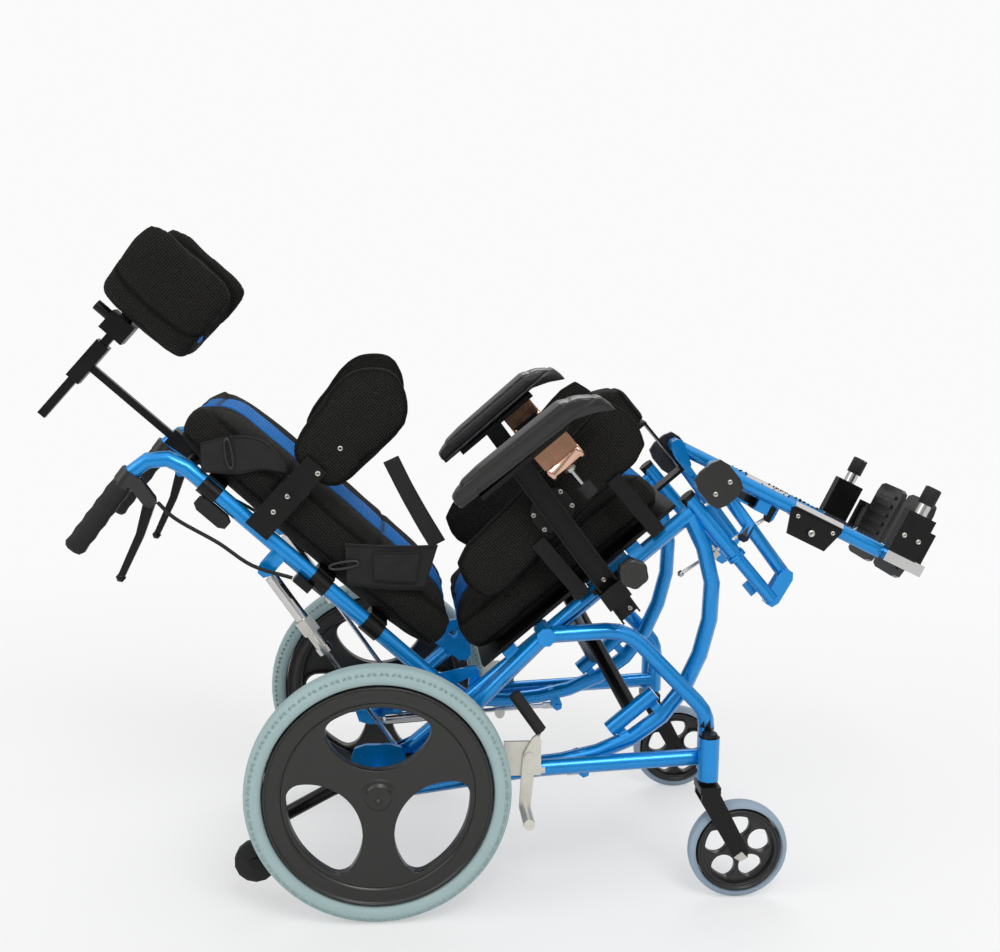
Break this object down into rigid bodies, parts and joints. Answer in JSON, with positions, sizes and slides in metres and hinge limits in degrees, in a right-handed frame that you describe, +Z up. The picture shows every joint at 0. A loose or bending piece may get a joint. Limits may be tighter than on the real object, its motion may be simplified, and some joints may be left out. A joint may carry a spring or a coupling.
{
  "type": "tilt_in_space_wheelchair",
  "caption": "Tilt in space wheelchair with blue tube frame, grey tyres, black mesh cushions, head support, side pads, lifting leg rests and gas springs.",
  "frame": {"origin": "middle of the chair's box at the floor, between the wheels", "axes": "+X forward towards the foot plates, +Y to the occupant's left, +Z up"},
  "size_m": [1.4474, 0.572, 1.039],
  "materials": {
    "painted_frame": "glossy metallic blue paint",
    "black_metal": "satin black coat",
    "chrome": "polished",
    "zinc": "pale zinc plate",
    "grey_tyre": "matt grey rubber",
    "wheel_plastic": "satin moulded plastic",
    "rubber": "matt",
    "spacer_mesh": "black spacer mesh",
    "arm_skin": "grained black skin",
    "webbing": "black woven webbing"
  },
  "bodies": {
    "base": {"base_frame_right": "painted_frame", "base_frame_left": "painted_frame"},
    "seat": {"seat_frame_right": "painted_frame", "seat_frame_left": "painted_frame", "cross_brace": "black_metal", "seat_board": "black_metal", "seat_cushion": "spacer_mesh", "pommel": "spacer_mesh", "hip_pad_right": "spacer_mesh", "hip_pad_left": "spacer_mesh"},
    "back": {"back_frame": "painted_frame", "back_cushion": "spacer_mesh", "waist_strap": "webbing", "hand_grip_right": "rubber", "hand_grip_left": "rubber", "release_cable_right": "rubber", "release_cable_left": "rubber", "side_pad_right": "spacer_mesh", "side_pad_left": "spacer_mesh"},
    "head_stalk": {"head_stalk": "black_metal"},
    "head_bar": {"head_bar": "black_metal"},
    "head_pad": {"head_pad": "spacer_mesh"},
    "rear_wheel_right": {"rear_wheel_right": "wheel_plastic", "rear_tyre_right": "grey_tyre"},
    "caster_fork_right": {"caster_fork_right": "black_metal"},
    "caster_wheel_right": {"caster_wheel_right": "wheel_plastic"},
    "anti_tip_wheel_right": {"anti_tip_wheel_right": "rubber"},
    "parking_brake_right": {"parking_brake_right": "zinc"},
    "tilt_rod_right": {"tilt_rod_right": "chrome"},
    "tilt_cylinder_right": {"tilt_cylinder_right": "chrome"},
    "recline_cylinder_right": {"recline_cylinder_right": "chrome"},
    "recline_rod_right": {"recline_rod_right": "chrome"},
    "arm_right": {"arm_post_right": "black_metal", "arm_pad_right": "arm_skin"},
    "release_lever_right": {"release_lever_right": "arm_skin"},
    "hanger_right": {"leg_hanger_right": "painted_frame"},
    "leg_right": {"leg_arm_right": "painted_frame", "calf_pad_right": "spacer_mesh"},
    "support_rod_right": {"support_rod_right": "chrome"},
    "leg_slide_right": {"leg_slide_right": "black_metal"},
    "foot_plate_right": {"foot_plate_right": "wheel_plastic"},
    "rear_wheel_left": {"rear_wheel_left": "wheel_plastic", "rear_tyre_left": "grey_tyre"},
    "caster_fork_left": {"caster_fork_left": "black_metal"},
    "caster_wheel_left": {"caster_wheel_left": "wheel_plastic"},
    "anti_tip_wheel_left": {"anti_tip_wheel_left": "rubber"},
    "parking_brake_left": {"parking_brake_left": "zinc"},
    "tilt_rod_left": {"tilt_rod_left": "chrome"},
    "tilt_cylinder_left": {"tilt_cylinder_left": "chrome"},
    "recline_cylinder_left": {"recline_cylinder_left": "chrome"},
    "recline_rod_left": {"recline_rod_left": "chrome"},
    "arm_left": {"arm_post_left": "black_metal", "arm_pad_left": "arm_skin"},
    "release_lever_left": {"release_lever_left": "arm_skin"},
    "hanger_left": {"leg_hanger_left": "painted_frame"},
    "leg_left": {"leg_arm_left": "painted_frame", "calf_pad_left": "spacer_mesh"},
    "support_rod_left": {"support_rod_left": "chrome"},
    "leg_slide_left": {"leg_slide_left": "black_metal"},
    "foot_plate_left": {"foot_plate_left": "wheel_plastic"}
  },
  "joints": [
    {"name": "seat_tilt", "type": "hinge", "parent": "base", "child": "seat", "pos_m": [0.0709, 0, 0.422], "axis": [0, -1, 0], "range_deg": [-30, 0]},
    {"name": "back_recline", "type": "hinge", "parent": "seat", "child": "back", "pos_m": [-0.08806, 0, 0.33358], "axis": [0, -1, 0], "range_deg": [0, 42]},
    {"name": "head_stalk_height", "type": "slide", "parent": "back", "child": "head_stalk", "axis": [-0.7455, 0, 0.6665], "range_m": [-0.02, 0.05]},
    {"name": "head_bar_reach", "type": "slide", "parent": "head_stalk", "child": "head_bar", "axis": [0.6665, 0, 0.7455], "range_m": [-0.012, 0.03]},
    {"name": "head_pad_nod", "type": "hinge", "parent": "head_bar", "child": "head_pad", "pos_m": [-0.5818, 0, 0.89308], "axis": [0, -1, 0], "range_deg": [-12, 12]},
    {"name": "rear_wheel_spin_right", "type": "hinge", "parent": "base", "child": "rear_wheel_right", "pos_m": [-0.1851, -0.264, 0.2], "axis": [0, 1, 0], "continuous": true},
    {"name": "caster_swivel_right", "type": "hinge", "parent": "base", "child": "caster_fork_right", "pos_m": [0.3274, -0.224, 0.23], "axis": [0, 0, 1], "continuous": true},
    {"name": "caster_wheel_spin_right", "type": "hinge", "parent": "caster_fork_right", "child": "caster_wheel_right", "pos_m": [0.3789, -0.224, 0.079], "axis": [0, 1, 0], "continuous": true},
    {"name": "anti_tip_wheel_spin_right", "type": "hinge", "parent": "base", "child": "anti_tip_wheel_right", "pos_m": [-0.3731, -0.207, 0.073], "axis": [0, 1, 0], "continuous": true},
    {"name": "parking_brake_lever_right", "type": "hinge", "parent": "base", "child": "parking_brake_right", "pos_m": [0.0469, -0.216, 0.235], "axis": [0, 1, 0], "range_deg": [0, 14.5]},
    {"name": "tilt_rod_pivot_right", "type": "hinge", "parent": "seat", "child": "tilt_rod_right", "pos_m": [0.1411, -0.16, 0.18737], "axis": [0, -1, 0], "range_deg": [-1, 31]},
    {"name": "tilt_spring_stroke_right", "type": "slide", "parent": "tilt_rod_right", "child": "tilt_cylinder_right", "axis": [-0.9977, 0, -0.0684], "range_m": [-0.13, 0.02]},
    {"name": "recline_cylinder_pivot_right", "type": "hinge", "parent": "back", "child": "recline_cylinder_right", "pos_m": [-0.35567, -0.16, 0.52187], "axis": [0, -1, 0], "range_deg": [-45, 5]},
    {"name": "recline_spring_stroke_right", "type": "slide", "parent": "recline_cylinder_right", "child": "recline_rod_right", "axis": [0.5685, 0, -0.8227], "range_m": [-0.1, 0.01]},
    {"name": "arm_height_right", "type": "slide", "parent": "seat", "child": "arm_right", "axis": [-0.599, 0, 0.8007], "range_m": [-0.02, 0.028]},
    {"name": "release_lever_pull_right", "type": "hinge", "parent": "back", "child": "release_lever_right", "pos_m": [-0.52519, -0.16, 0.62783], "axis": [0, 1, 0], "range_deg": [0, 14], "stiffness_Nm_per_rad": 1, "springref_deg": -5.73},
    {"name": "leg_rest_swing_right", "type": "hinge", "parent": "seat", "child": "hanger_right", "pos_m": [0.37567, -0.16, 0.53633], "axis": [-0.6494, 0, 0.7604], "range_deg": [-85, 0]},
    {"name": "leg_rest_lift_right", "type": "hinge", "parent": "hanger_right", "child": "leg_right", "pos_m": [0.3437, -0.143, 0.67077], "axis": [0, -1, 0], "range_deg": [0, 48]},
    {"name": "support_rod_pivot_right", "type": "hinge", "parent": "leg_right", "child": "support_rod_right", "pos_m": [0.43497, -0.124, 0.59088], "axis": [0, -1, 0], "range_deg": [-20, 3]},
    {"name": "leg_length_right", "type": "slide", "parent": "leg_right", "child": "leg_slide_right", "axis": [0.8996, 0, -0.4368], "range_m": [0, 0.05]},
    {"name": "foot_plate_flip_right", "type": "hinge", "parent": "leg_slide_right", "child": "foot_plate_right", "pos_m": [0.68779, -0.124, 0.54149], "axis": [0.4368, 0, 0.8996], "range_deg": [0, 78]},
    {"name": "rear_wheel_spin_left", "type": "hinge", "parent": "base", "child": "rear_wheel_left", "pos_m": [-0.1851, 0.264, 0.2], "axis": [0, 1, 0], "continuous": true},
    {"name": "caster_swivel_left", "type": "hinge", "parent": "base", "child": "caster_fork_left", "pos_m": [0.3274, 0.224, 0.23], "axis": [0, 0, 1], "continuous": true},
    {"name": "caster_wheel_spin_left", "type": "hinge", "parent": "caster_fork_left", "child": "caster_wheel_left", "pos_m": [0.3789, 0.224, 0.079], "axis": [0, 1, 0], "continuous": true},
    {"name": "anti_tip_wheel_spin_left", "type": "hinge", "parent": "base", "child": "anti_tip_wheel_left", "pos_m": [-0.3731, 0.207, 0.073], "axis": [0, 1, 0], "continuous": true},
    {"name": "parking_brake_lever_left", "type": "hinge", "parent": "base", "child": "parking_brake_left", "pos_m": [0.0469, 0.216, 0.235], "axis": [0, 1, 0], "range_deg": [0, 14.5]},
    {"name": "tilt_rod_pivot_left", "type": "hinge", "parent": "seat", "child": "tilt_rod_left", "pos_m": [0.1411, 0.16, 0.18737], "axis": [0, -1, 0], "range_deg": [-1, 31]},
    {"name": "tilt_spring_stroke_left", "type": "slide", "parent": "tilt_rod_left", "child": "tilt_cylinder_left", "axis": [-0.9977, 0, -0.0684], "range_m": [-0.13, 0.02]},
    {"name": "recline_cylinder_pivot_left", "type": "hinge", "parent": "back", "child": "recline_cylinder_left", "pos_m": [-0.35567, 0.16, 0.52187], "axis": [0, -1, 0], "range_deg": [-45, 5]},
    {"name": "recline_spring_stroke_left", "type": "slide", "parent": "recline_cylinder_left", "child": "recline_rod_left", "axis": [0.5685, 0, -0.8227], "range_m": [-0.1, 0.01]},
    {"name": "arm_height_left", "type": "slide", "parent": "seat", "child": "arm_left", "axis": [-0.599, 0, 0.8007], "range_m": [-0.02, 0.028]},
    {"name": "release_lever_pull_left", "type": "hinge", "parent": "back", "child": "release_lever_left", "pos_m": [-0.52519, 0.16, 0.62783], "axis": [0, 1, 0], "range_deg": [0, 14], "stiffness_Nm_per_rad": 1, "springref_deg": -5.73},
    {"name": "leg_rest_swing_left", "type": "hinge", "parent": "seat", "child": "hanger_left", "pos_m": [0.37567, 0.16, 0.53633], "axis": [-0.6494, 0, 0.7604], "range_deg": [0, 85]},
    {"name": "leg_rest_lift_left", "type": "hinge", "parent": "hanger_left", "child": "leg_left", "pos_m": [0.3437, 0.143, 0.67077], "axis": [0, -1, 0], "range_deg": [0, 48]},
    {"name": "support_rod_pivot_left", "type": "hinge", "parent": "leg_left", "child": "support_rod_left", "pos_m": [0.43497, 0.124, 0.59088], "axis": [0, -1, 0], "range_deg": [-20, 3]},
    {"name": "leg_length_left", "type": "slide", "parent": "leg_left", "child": "leg_slide_left", "axis": [0.8996, 0, -0.4368], "range_m": [0, 0.05]},
    {"name": "foot_plate_flip_left", "type": "hinge", "parent": "leg_slide_left", "child": "foot_plate_left", "pos_m": [0.68779, 0.124, 0.54149], "axis": [0.4368, 0, 0.8996], "range_deg": [-78, 0]}
  ],
  "couplings": [
    {"joint": "tilt_rod_pivot_right", "follows": "seat_tilt", "ratio": -0.9688},
    {"joint": "tilt_spring_stroke_right", "follows": "seat_tilt", "m_per_rad": 0.24255},
    {"joint": "recline_cylinder_pivot_right", "follows": "back_recline", "ratio": -0.0592},
    {"joint": "recline_spring_stroke_right", "follows": "back_recline", "m_per_rad": -0.12044},
    {"joint": "support_rod_pivot_right", "follows": "leg_rest_lift_right", "ratio": -0.3593},
    {"joint": "tilt_rod_pivot_left", "follows": "seat_tilt", "ratio": -0.9688},
    {"joint": "tilt_spring_stroke_left", "follows": "seat_tilt", "m_per_rad": 0.24255},
    {"joint": "recline_cylinder_pivot_left", "follows": "back_recline", "ratio": -0.0592},
    {"joint": "recline_spring_stroke_left", "follows": "back_recline", "m_per_rad": -0.12044},
    {"joint": "support_rod_pivot_left", "follows": "leg_rest_lift_left", "ratio": -0.3593}
  ]
}
